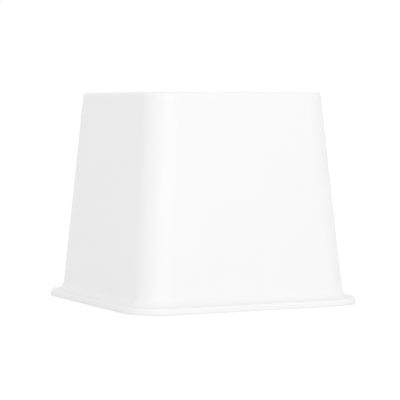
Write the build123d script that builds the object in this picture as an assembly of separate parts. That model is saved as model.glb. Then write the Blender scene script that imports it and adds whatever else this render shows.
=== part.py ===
from build123d import *
import math
import os

# Bed riser, moulded in one piece from polypropylene: a hollow tapered block on a flat flange.
# A bed leg stands in the square well in its top. Ribs under the top carry the load out to the
# four walls, and their lower edges are what the next riser down stops against in a stack.
# Millimetres. The origin is the middle of the footprint, on the floor, and +Z is up.

# Tapered body, measured outside
height = 152.0
base_side = 165.0
top_side = 140.0
body_corner = 19.5
wall = 2.8
deck = 3.2
deck_edge_round = 2.4

# Flange round the foot
flange_reach = 8.5
flange_thickness = 4.5
flange_edge_round = 1.6
foot_fillet = 6.0

# Well for the bed leg
well_side = 84.0
well_depth = 20.0
well_corner = 12.0
well_draft = 3.0
well_wall = 2.8
well_floor = 3.2
well_mouth_round = 1.8
well_floor_fillet = 3.0

# Ribs under the top. The pitch is how far each riser stands above the one below it in a stack
stack_pitch = 59.0
rib_root = 2.6
rib_draft = 0.5
pocket_corner = 1.5

# How far a cutting shape runs past the surface that it cuts
overrun = 5.0

slope = math.atan((base_side - top_side) / 2 / height)
ceiling = height - deck
rib_stop = height - stack_pitch
flange_side = base_side + 2 * flange_reach
side_rib = well_side / 2 + well_wall - rib_root / 2


def level_face(shape, z):
    # of the faces that lie level, the one nearest this height
    return min(shape.faces().filter_by(Axis.Z), key=lambda face: abs(face.center().Z - z))


def tapered_block(side, tall, corner):
    # a square block whose four walls lean in, with its slanting corners rolled to one radius
    block = extrude(Rectangle(side, side), tall, taper=math.degrees(slope))
    slanting = [edge for edge in block.edges() if edge.bounding_box().size.Z > tall / 2]
    return fillet(slanting, corner)


def flange():
    plate = extrude(RectangleRounded(flange_side, flange_side, body_corner + flange_reach), flange_thickness)
    return fillet(level_face(plate, flange_thickness).edges(), flange_edge_round)


def outside():
    shell = tapered_block(base_side, height, body_corner) + flange()
    shell = fillet(level_face(shell, flange_thickness).inner_wires()[0].edges(), foot_fillet)
    return fillet(level_face(shell, height).edges(), deck_edge_round)


def leg_well():
    # drawn at the mouth and tapered downwards
    mouth = RectangleRounded(well_side, well_side, well_corner)
    hollow = Pos(0, 0, height) * Rot(180, 0, 0) * extrude(mouth, well_depth, taper=well_draft)
    return fillet(level_face(hollow, height - well_depth).edges(), well_floor_fillet)


def rib_half(z):
    # half a rib's thickness at one height: it is thickest at its root, under the deck
    return rib_root / 2 - (ceiling - z) * math.tan(math.radians(rib_draft))


def rib_bar():
    # one rib's tapered section, run across the whole body
    top = ceiling + overrun
    outline = Polyline(
        (-rib_half(top), top),
        (rib_half(top), top),
        (rib_half(rib_stop), rib_stop),
        (-rib_half(rib_stop), rib_stop),
        close=True,
    )
    return extrude(Plane.XZ * make_face(outline), base_side / 2, both=True)


def core():
    # the space inside, as the mould's core fills it: one block up to the ribs, and a finger
    # from it into each pocket between them
    side = base_side - 2 * wall / math.cos(slope) + 2 * overrun * math.tan(slope)
    space = Pos(0, 0, -overrun) * tapered_block(side, ceiling + overrun, body_corner - wall)
    # two ribs each way carry on down from the well's walls, and a third crosses under its floor
    bar = rib_bar()
    for place in (-side_rib, 0, side_rib):
        space -= Pos(place, 0, 0) * bar
        space -= Pos(0, place, 0) * Rot(0, 0, 90) * bar
    casing = Box(2 * side_rib, 2 * side_rib, height, align=(Align.CENTER, Align.CENTER, Align.MIN))
    space -= Pos(0, 0, height - well_depth - well_floor) * casing
    upright = [
        edge
        for edge in space.edges()
        if edge.bounding_box().min.Z > rib_stop - 0.01 and edge.bounding_box().size.Z > overrun
    ]
    return fillet(upright, pocket_corner)


def riser():
    block = outside() - leg_well()
    mouth = level_face(block, height).inner_wires()[0].edges()
    return fillet(mouth, well_mouth_round) - core()


os.makedirs("parts", exist_ok=True)
export_step(riser(), "parts/riser.step")
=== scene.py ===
import math

import bmesh
import bpy
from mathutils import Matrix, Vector


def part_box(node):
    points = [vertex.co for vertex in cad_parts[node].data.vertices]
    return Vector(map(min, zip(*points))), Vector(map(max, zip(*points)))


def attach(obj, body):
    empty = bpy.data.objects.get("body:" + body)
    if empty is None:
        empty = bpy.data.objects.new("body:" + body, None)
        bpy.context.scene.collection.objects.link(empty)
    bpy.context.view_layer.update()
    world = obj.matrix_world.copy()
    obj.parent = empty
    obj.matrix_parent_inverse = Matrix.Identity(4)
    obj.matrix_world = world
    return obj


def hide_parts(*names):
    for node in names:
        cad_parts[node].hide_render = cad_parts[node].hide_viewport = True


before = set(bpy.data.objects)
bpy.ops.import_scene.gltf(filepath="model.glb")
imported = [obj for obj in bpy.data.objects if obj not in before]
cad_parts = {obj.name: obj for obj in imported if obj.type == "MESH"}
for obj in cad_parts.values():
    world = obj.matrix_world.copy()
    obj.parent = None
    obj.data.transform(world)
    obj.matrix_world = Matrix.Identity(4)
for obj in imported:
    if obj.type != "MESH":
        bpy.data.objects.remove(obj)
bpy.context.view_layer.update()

mm = 0.001
tiny = 0.02 * mm  # how near two places count as the same
sharpTurn = 1  # in radians: two faces that meet at more than this make a corner

riserLow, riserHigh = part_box("riser")
height = riserHigh.z - riserLow.z
flangeSide = riserHigh.x - riserLow.x
print(f"frame loaded: the riser is {flangeSide / mm:.1f} mm wide and {height / mm:.1f} mm high")


# steps that every part of the model uses

def pick(piece, kind, test):
    # in edit mode, selects the vertices, edges or faces that pass the test, and nothing else
    bpy.ops.mesh.select_mode(type=kind)
    bpy.ops.mesh.select_all(action="DESELECT")
    mesh = bmesh.from_edit_mesh(piece.data)
    everything = {"VERT": mesh.verts, "EDGE": mesh.edges, "FACE": mesh.faces}[kind]
    found = [part for part in everything if test(part)]
    for part in found:
        part.select_set(True)
    mesh.select_flush_mode()
    bmesh.update_edit_mesh(piece.data)
    return len(found)


def at(part, z):
    # true where the whole edge or face lies at one height
    return all(abs(corner.co.z - z) < tiny for corner in part.verts)


def reach(corner):
    # how far out a corner lies, measured square to the walls
    return max(abs(corner.co.x), abs(corner.co.y))


def turnOf(edge):
    # the angle between an edge's two faces
    return edge.calc_face_angle(0) if edge.is_manifold else 0


def push(axis, amount):
    step = [0, 0, 0]
    step[axis] = amount
    bpy.ops.transform.translate(value=step)


def onlyThis(piece):
    bpy.ops.object.select_all(action="DESELECT")
    piece.select_set(True)
    bpy.context.view_layer.objects.active = piece


def editing(piece):
    onlyThis(piece)
    bpy.ops.object.mode_set(mode="EDIT")


def doneEditing():
    bpy.ops.object.mode_set(mode="OBJECT")


def addBlock(name, side, low, high):
    # a square block that stands on the Z axis between two heights
    bpy.ops.object.select_all(action="DESELECT")
    bpy.ops.mesh.primitive_cube_add(size=1, location=(0, 0, (low + high) / 2))
    block = bpy.context.object
    block.name = block.data.name = name
    block.scale = (side, side, high - low)
    bpy.ops.object.transform_apply(location=True, rotation=False, scale=True)
    return block


def drawIn(piece, z, pull):
    # moves the four sides in at one height, so that the walls lean and the corners keep their size
    for axis in (0, 1):
        for side in (-1, 1):
            pick(piece, "VERT", lambda v: abs(v.co.z - z) < tiny and v.co[axis] * side > 0)
            push(axis, -side * pull)


def roundPicked(radius, segments):
    # a profile of a half makes a true arc
    bpy.ops.mesh.bevel(offset=radius, segments=segments, profile=0.5, clamp_overlap=False)


def roundUprights(piece, radius):
    pick(piece, "EDGE", lambda e: abs(e.verts[0].co.z - e.verts[1].co.z) > tiny)
    roundPicked(radius, body["cornerSegments"])


def roundLoop(piece, z, rounding, test):
    # rounds the sharp edges at one height whose two ends pass the test
    pick(piece, "EDGE",
         lambda e: at(e, z) and turnOf(e) > sharpTurn and all(test(v) for v in e.verts))
    roundPicked(*rounding)


def openAt(piece, z):
    # takes away the face that closes a block at one height, and leaves its edges
    pick(piece, "FACE", lambda f: at(f, z))
    bpy.ops.mesh.delete(type="ONLY_FACE")


def bridgeAt(piece, z):
    # joins the two open loops at one height with a flat ring
    pick(piece, "EDGE", lambda e: len(e.link_faces) < 2 and at(e, z))
    bpy.ops.mesh.bridge_edge_loops()


def turnInsideOut(piece):
    # a hollow's skin looks into the hollow
    bpy.ops.mesh.select_all(action="SELECT")
    bpy.ops.mesh.flip_normals()


# the outside: leaning walls on a flat flange. An edge is given as its radius and its segments

body = {
    "topSide": 140 * mm,
    "baseSide": 165 * mm,
    "corner": 19.5 * mm,
    "cornerSegments": 18,
    "wall": 2.8 * mm,
    "deck": 3.2 * mm,
    "deckEdge": (2.4 * mm, 5),
    "innerFootEdge": (0.6 * mm, 3),  # round the opening underneath
}
flange = {
    "thickness": 4.5 * mm,
    "upperEdge": (1.6 * mm, 4),
    "lowerEdge": (0.35 * mm, 2),  # where the mould parts
    "footFillet": (6 * mm, 7),
}
flangeReach = (flangeSide - body["baseSide"]) / 2
slope = (body["baseSide"] - body["topSide"]) / 2 / height
wallAcross = body["wall"] * math.sqrt(1 + slope * slope)  # the wall measured level
ceiling = height - body["deck"]


def outsideAt(z):
    return body["baseSide"] - 2 * slope * z


def makeBody():
    foot = flange["thickness"]
    walls = addBlock("walls", outsideAt(foot), foot, height)
    editing(walls)
    drawIn(walls, height, slope * (height - foot))
    roundUprights(walls, body["corner"])
    openAt(walls, foot)
    openAt(walls, height)
    doneEditing()
    return walls


def makeFlange():
    plate = addBlock("flange", flangeSide, 0, flange["thickness"])
    editing(plate)
    roundUprights(plate, body["corner"] + flangeReach)
    openAt(plate, 0)
    openAt(plate, flange["thickness"])
    doneEditing()
    return plate


# the well that a bed leg stands in

well = {
    "side": 84 * mm,
    "depth": 20 * mm,
    "corner": 12 * mm,
    "draft": math.radians(3),
    "wall": 2.8 * mm,
    "floor": 3.2 * mm,
    "mouthRound": (1.8 * mm, 4),
    "floorFillet": (3 * mm, 5),
}
wellFloor = height - well["depth"]
underWell = wellFloor - well["floor"]


def makeWell():
    hollow = addBlock("well", well["side"], wellFloor, height)
    editing(hollow)
    drawIn(hollow, wellFloor, well["depth"] * math.tan(well["draft"]))
    roundUprights(hollow, well["corner"])
    openAt(hollow, height)
    turnInsideOut(hollow)
    doneEditing()
    return hollow


# the inside: one space up to the ribs, and a pocket up between each pair of them

ribs = {
    "stackPitch": 59 * mm,  # from the deck's top down to the ribs' lower edges
    "root": 2.6 * mm,
    "draft": math.radians(0.5),
    "pocketRound": 1.2 * mm,
    "tipRound": 0.5 * mm,
    "segments": 3,
}
ribStop = height - ribs["stackPitch"]
sideRib = well["side"] / 2 + well["wall"] - ribs["root"] / 2
ribPlaces = (-sideRib, 0, sideRib)


def ribHalf(z):
    # half a rib's thickness at one height: it is thickest under the deck
    return ribs["root"] / 2 - (ceiling - z) * math.tan(ribs["draft"])


def drawLine(piece, place, axis):
    # cuts the flat top of the lower space along one side of a rib
    spot, normal = [0, 0, ribStop], [0, 0, 0]
    spot[axis] = place
    normal[axis] = 1
    pick(piece, "FACE", lambda f: at(f, ribStop))
    bpy.ops.mesh.bisect(plane_co=spot, plane_no=normal)


def betweenRibs(place):
    return all(abs(place[axis] - rib) > ribHalf(ribStop) for axis in (0, 1) for rib in ribPlaces)


def raisePockets(piece, top, test):
    # pulls faces up between the ribs to one height, and leans their walls
    found = pick(piece, "FACE",
                 lambda f: at(f, ribStop) and betweenRibs(f.calc_center_median()) and test(f))
    bpy.ops.mesh.extrude_region_move(TRANSFORM_OT_translate={"value": (0, 0, top - ribStop)})
    beyondRibs = sideRib + ribs["root"]
    for axis in (0, 1):
        for side in (-1, 1):
            for rib in ribPlaces:
                edge = rib + side * ribHalf(ribStop)
                pick(piece, "VERT",
                     lambda v: abs(v.co.z - top) < tiny and abs(v.co[axis] - edge) < tiny)
                push(axis, side * (ribHalf(top) - ribHalf(ribStop)))
            pick(piece, "VERT",
                 lambda v: abs(v.co.z - top) < tiny and v.co[axis] * side > beyondRibs)
            push(axis, -side * slope * (top - ribStop))
    return found


def weighRounds(piece):
    # pocket edges get the full round, and rib tips a smaller one
    mesh = bmesh.from_edit_mesh(piece.data)
    weight = mesh.edges.layers.float.new("bevel_weight_edge")
    for edge in mesh.edges:
        if turnOf(edge) > sharpTurn and min(corner.co.z for corner in edge.verts) > ribStop - tiny:
            edge[weight] = ribs["tipRound"] / ribs["pocketRound"] if at(edge, ribStop) else 1
    bmesh.update_edit_mesh(piece.data)


def makeCore():
    core = addBlock("core", outsideAt(0) - 2 * wallAcross, 0, ribStop)
    editing(core)
    drawIn(core, ribStop, slope * ribStop)
    roundUprights(core, body["corner"] - body["wall"])
    for rib in ribPlaces:
        for side in (-1, 1):
            for axis in (0, 1):
                drawLine(core, rib + side * ribHalf(ribStop), axis)
    inner = raisePockets(core, underWell, lambda f: f.calc_center_median().xy.length < sideRib)
    outer = raisePockets(core, ceiling, lambda f: True)
    print("raised", inner, "pockets under the well and", outer, "round it")
    weighRounds(core)
    doneEditing()
    rounds = core.modifiers.new("rounds", "BEVEL")
    rounds.limit_method = "WEIGHT"
    rounds.width = ribs["pocketRound"]
    rounds.segments = ribs["segments"]
    rounds.use_clamp_overlap = False
    bpy.ops.object.modifier_apply(modifier=rounds.name)
    editing(core)
    openAt(core, 0)
    turnInsideOut(core)
    doneEditing()
    return core


# the mark of the gate, where the mould was filled, in the middle of the well's floor

gate = {
    "dimpleAcross": 9 * mm,
    "dimpleDeep": 0.5 * mm,
    "flatAcross": 7.6 * mm,
    "stubAcross": 3.2 * mm,
    "stubHigh": 0.35 * mm,
    "stubTaper": 0.9,
    "sides": 40,
}


def stepRing(rise, shrink):
    # carries the selected ring on, up or down and inwards
    bpy.ops.mesh.extrude_edges_move(TRANSFORM_OT_translate={"value": (0, 0, rise)})
    bpy.ops.transform.resize(value=(shrink, shrink, 1), center_override=(0, 0, wellFloor))


def addGate(piece):
    openAt(piece, wellFloor)
    bpy.ops.mesh.select_all(action="DESELECT")
    bpy.ops.mesh.primitive_circle_add(
        vertices=gate["sides"], radius=gate["dimpleAcross"] / 2, location=(0, 0, wellFloor))
    pick(piece, "EDGE", lambda e: len(e.link_faces) < 2 and at(e, wellFloor))
    bpy.ops.mesh.fill(use_beauty=True)
    pick(piece, "EDGE", lambda e: len(e.link_faces) < 2)
    stepRing(-gate["dimpleDeep"], gate["flatAcross"] / gate["dimpleAcross"])
    stepRing(0, gate["stubAcross"] / gate["flatAcross"])
    stepRing(gate["stubHigh"], gate["stubTaper"])
    bpy.ops.mesh.edge_face_add()
    bpy.ops.mesh.select_all(action="SELECT")
    bpy.ops.mesh.normals_make_consistent(inside=False)


def makeRiser():
    parts = [makeBody(), makeFlange(), makeWell(), makeCore()]
    bpy.ops.object.select_all(action="DESELECT")
    for part in parts:
        part.select_set(True)
    bpy.context.view_layer.objects.active = parts[0]
    bpy.ops.object.join()
    shell = bpy.context.object
    shell.name = shell.data.name = "mouldedRiser"
    foot = flange["thickness"]
    wallFoot = outsideAt(foot) / 2 + tiny
    wellMouth = well["side"] / 2 + tiny
    editing(shell)
    for z in (0, foot, height):
        bridgeAt(shell, z)
    bpy.ops.mesh.select_all(action="SELECT")
    bpy.ops.mesh.normals_make_consistent(inside=False)
    roundLoop(shell, foot, flange["footFillet"], lambda v: reach(v) < wallFoot)
    roundLoop(shell, foot, flange["upperEdge"], lambda v: reach(v) > wallFoot)
    roundLoop(shell, 0, flange["lowerEdge"], lambda v: reach(v) > wallFoot)
    roundLoop(shell, 0, body["innerFootEdge"], lambda v: reach(v) < wallFoot)
    roundLoop(shell, height, body["deckEdge"], lambda v: reach(v) > wellMouth)
    roundLoop(shell, height, well["mouthRound"], lambda v: reach(v) < wellMouth)
    roundLoop(shell, wellFloor, well["floorFillet"], lambda v: True)
    addGate(shell)
    doneEditing()
    return shell


shading = {
    "smoothUnder": math.radians(38),
    "flatWeight": 100,  # how strongly a large face keeps its shading flat
}


def smoothOver(piece):
    # smooth over the rounds, flat on the flats
    onlyThis(piece)
    bpy.ops.object.shade_smooth_by_angle(angle=shading["smoothUnder"])
    flats = piece.modifiers.new("flats", "WEIGHTED_NORMAL")
    flats.keep_sharp = True
    flats.weight = shading["flatWeight"]
    bpy.ops.object.modifier_apply(modifier=flats.name)


mouldedRiser = makeRiser()
smoothOver(mouldedRiser)
print("riser modelled with", len(mouldedRiser.data.polygons), "faces")


# white polypropylene with a satin mould finish. A pattern is given as its size and its detail

plastic = {
    "white": (0.9, 0.9, 0.9),
    "cloud": (0.885, 0.886, 0.885),  # where the pigment flowed a little thinner
    "cloudPattern": (60 * mm, 3),
    "roughness": (0.36, 0.46),
    "polishPattern": (35 * mm, 4),
    "patternSpan": (0.3, 0.7),  # nearly all of a pattern lies between these two values
    "grainPattern": (0.5 * mm, 2),  # from the sparked face of the mould
    "grainDeep": 0.02 * mm,
    "swellPattern": (45 * mm, 1),  # the wall isn't perfectly flat
    "swellDeep": 0.25 * mm,
    "glow": 0.2,  # light that travels inside the plastic
    "glowReach": 1.6 * mm,
    "ior": 1.49,
}


def addNoise(nodes, links, place, pattern):
    size, detail = pattern
    noise = nodes.new("ShaderNodeTexNoise")
    noise.inputs["Scale"].default_value = 1 / size
    noise.inputs["Detail"].default_value = detail
    links.new(place, noise.inputs["Vector"])
    return noise.outputs["Fac"]


def addMapRange(nodes, links, value, taken, given):
    # carries a value over from one range to another
    mapRange = nodes.new("ShaderNodeMapRange")
    mapRange.inputs["From Min"].default_value, mapRange.inputs["From Max"].default_value = taken
    mapRange.inputs["To Min"].default_value, mapRange.inputs["To Max"].default_value = given
    links.new(value, mapRange.inputs["Value"])
    return mapRange.outputs["Result"]


def addBump(nodes, links, relief, deep, normal=None):
    bump = nodes.new("ShaderNodeBump")
    bump.inputs["Distance"].default_value = deep
    links.new(relief, bump.inputs["Height"])
    if normal:
        links.new(normal, bump.inputs["Normal"])
    return bump.outputs["Normal"]


def makePolypropylene():
    material = bpy.data.materials.new("satinPolypropylene")
    material.use_nodes = True
    nodes, links = material.node_tree.nodes, material.node_tree.links
    shader = nodes["Principled BSDF"]
    shader.inputs["IOR"].default_value = plastic["ior"]
    shader.inputs["Subsurface Weight"].default_value = plastic["glow"]
    shader.inputs["Subsurface Radius"].default_value = (1, 1, 1)
    shader.inputs["Subsurface Scale"].default_value = plastic["glowReach"]
    place = nodes.new("ShaderNodeTexCoord").outputs["Object"]

    clouds = nodes.new("ShaderNodeMix")
    clouds.data_type = "RGBA"
    clouds.inputs["A"].default_value = (*plastic["cloud"], 1)
    clouds.inputs["B"].default_value = (*plastic["white"], 1)
    links.new(addNoise(nodes, links, place, plastic["cloudPattern"]), clouds.inputs["Factor"])
    links.new(clouds.outputs["Result"], shader.inputs["Base Color"])

    polish = addNoise(nodes, links, place, plastic["polishPattern"])
    roughness = addMapRange(nodes, links, polish, plastic["patternSpan"], plastic["roughness"])
    links.new(roughness, shader.inputs["Roughness"])

    swell = addNoise(nodes, links, place, plastic["swellPattern"])
    swollen = addBump(nodes, links, swell, plastic["swellDeep"])
    grain = addNoise(nodes, links, place, plastic["grainPattern"])
    grained = addBump(nodes, links, grain, plastic["grainDeep"], swollen)
    links.new(grained, shader.inputs["Normal"])
    return material


mouldedRiser.data.materials.clear()
mouldedRiser.data.materials.append(makePolypropylene())
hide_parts("riser")
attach(mouldedRiser, "root")
print("riser finished in satin polypropylene")


# the studio: a white tent, one wide soft lamp in front of the near corner, and a pale floor

studio = {
    "skyRound": 0.92,  # light from round about
    "skyOver": 0.88,  # and from overhead
    "floorSize": 30,  # in metres, so wide that its far edge makes no line
    "floorTone": 0.85,
    "floorRoughness": 0.9,
    "floorLift": (0.235, 0.29),  # what the camera sees over the floor's own tone, near and far
    "liftReach": (0.35, 1.6),  # in metres from the middle, where near and far are
}
softbox = {
    "azimuth": -13,
    "elevation": 16,
    "distance": 1.8,
    "wide": 2,
    "tall": 0.8,
    "watts": 7,
}
pureWhite = (1, 1, 1, 1)


def direction(azimuth, elevation):
    turn, lift = math.radians(azimuth), math.radians(elevation)
    level = math.cos(lift)
    return Vector((math.sin(turn) * level, -math.cos(turn) * level, math.sin(lift)))


def lookAt(thing, target):
    thing.rotation_euler = (target - thing.location).to_track_quat("-Z", "Y").to_euler()


def blend(nodes, links, operation, first, second, third=None):
    # one Math node, from sockets or plain numbers
    node = nodes.new("ShaderNodeMath")
    node.operation = operation
    for socket, value in zip(node.inputs, (first, second, third)):
        if isinstance(value, bpy.types.NodeSocket):
            links.new(value, socket)
        elif value is not None:
            socket.default_value = value
    return node.outputs[0]


def seenRays(nodes, links):
    # one where the camera, a reflection or a clear material looks
    rays = nodes.new("ShaderNodeLightPath").outputs
    mirrored = blend(nodes, links, "MAXIMUM", rays["Is Camera Ray"], rays["Is Glossy Ray"])
    return blend(nodes, links, "MAXIMUM", mirrored, rays["Is Transmission Ray"])


def makeSky():
    world = bpy.data.worlds.new("studio")
    bpy.context.scene.world = world
    world.use_nodes = True
    nodes, links = world.node_tree.nodes, world.node_tree.links
    ray = nodes.new("ShaderNodeTexCoord").outputs["Generated"]
    parts = nodes.new("ShaderNodeSeparateXYZ")
    links.new(ray, parts.inputs["Vector"])
    rise = studio["skyOver"] - studio["skyRound"]
    glow = blend(nodes, links, "MULTIPLY_ADD", parts.outputs["Z"], rise, studio["skyRound"])
    light = nodes["Background"]
    light.inputs["Color"].default_value = pureWhite
    links.new(glow, light.inputs["Strength"])
    backdrop = nodes.new("ShaderNodeBackground")
    backdrop.inputs["Color"].default_value = pureWhite
    both = nodes.new("ShaderNodeMixShader")
    links.new(seenRays(nodes, links), both.inputs["Fac"])
    links.new(light.outputs["Background"], both.inputs[1])
    links.new(backdrop.outputs["Background"], both.inputs[2])
    links.new(both.outputs["Shader"], nodes["World Output"].inputs["Surface"])


def makeFloor():
    bpy.ops.object.select_all(action="DESELECT")
    bpy.ops.mesh.primitive_plane_add(size=studio["floorSize"])
    floor = bpy.context.object
    floor.name = floor.data.name = "floor"
    material = bpy.data.materials.new("paleFloor")
    material.use_nodes = True
    nodes, links = material.node_tree.nodes, material.node_tree.links
    shader = nodes["Principled BSDF"]
    shader.inputs["Base Color"].default_value = (*[studio["floorTone"]] * 3, 1)
    shader.inputs["Roughness"].default_value = studio["floorRoughness"]
    shader.inputs["Specular IOR Level"].default_value = 0
    shader.inputs["Emission Color"].default_value = pureWhite
    away = nodes.new("ShaderNodeVectorMath")
    away.operation = "LENGTH"
    links.new(nodes.new("ShaderNodeTexCoord").outputs["Object"], away.inputs[0])
    away = away.outputs["Value"]
    fade = addMapRange(nodes, links, away, studio["liftReach"], studio["floorLift"])
    lift = blend(nodes, links, "MULTIPLY", seenRays(nodes, links), fade)
    links.new(lift, shader.inputs["Emission Strength"])
    floor.data.materials.append(material)


def makeSoftbox():
    place = direction(softbox["azimuth"], softbox["elevation"]) * softbox["distance"]
    bpy.ops.object.light_add(type="AREA", location=place)
    lamp = bpy.context.object
    lamp.name = lamp.data.name = "softbox"
    lamp.data.shape = "RECTANGLE"
    lamp.data.size, lamp.data.size_y = softbox["wide"], softbox["tall"]
    lamp.data.energy = softbox["watts"]
    lamp.visible_camera = False
    lookAt(lamp, Vector((0, 0, height / 2)))


# the camera stands where the photograph's did, a little below the riser's top

view = {
    "azimuth": -26.4,
    "distance": 1352 * mm,
    "eye": 142 * mm,
    "aim": 73 * mm,
    "lens": 165,
    "film": 36,  # how wide it is, in millimetres as the lens is
}


def makeCamera():
    place = direction(view["azimuth"], 0) * view["distance"]
    place.z = view["eye"]
    bpy.ops.object.camera_add(location=place)
    camera = bpy.context.object
    camera.data.lens = view["lens"]
    camera.data.sensor_width = view["film"]
    lookAt(camera, Vector((0, 0, view["aim"])))
    bpy.context.scene.camera = camera


makeSky()
makeFloor()
makeSoftbox()
makeCamera()
bpy.context.scene.view_settings.view_transform = "Standard"
print("studio and camera set")
